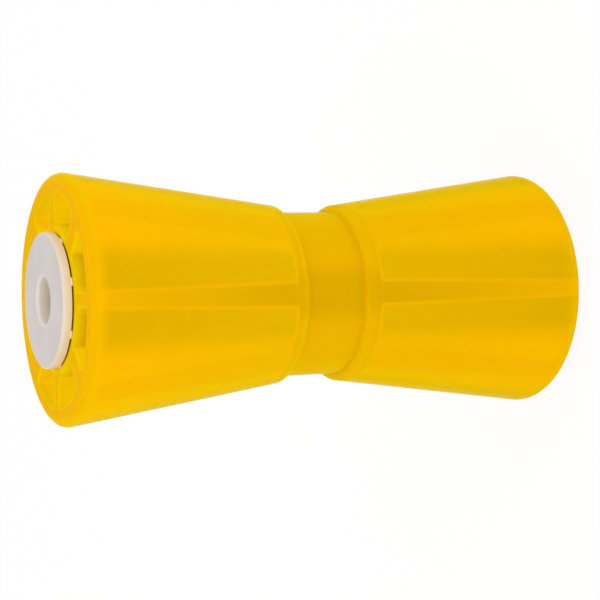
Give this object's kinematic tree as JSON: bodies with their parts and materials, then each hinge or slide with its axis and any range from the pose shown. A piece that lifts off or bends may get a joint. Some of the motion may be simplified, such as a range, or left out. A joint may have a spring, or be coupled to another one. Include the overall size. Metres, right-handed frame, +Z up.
{
  "type": "boat trailer roller",
  "caption": "Waisted keel roller for a boat trailer: a translucent cored rubber body with a flanged plastic bushing in each end for a cross shaft.",
  "frame": {"origin": "centre of the lower bushing's outer face, which the roller stands on", "axes": "+Z up along the roller's axis; +X and +Y square to it, each along a main web of the cored ends"},
  "size_m": [0.0912, 0.0912, 0.2032],
  "materials": {
    "body_rubber": "translucent yellow thermoplastic rubber, smooth and glossy as moulded",
    "bushing_plastic": "off-white moulded plastic, smooth satin"
  },
  "bodies": {
    "root": {"roller_body": "body_rubber", "upper_bushing": "bushing_plastic", "lower_bushing": "bushing_plastic"}
  },
  "joints": []
}
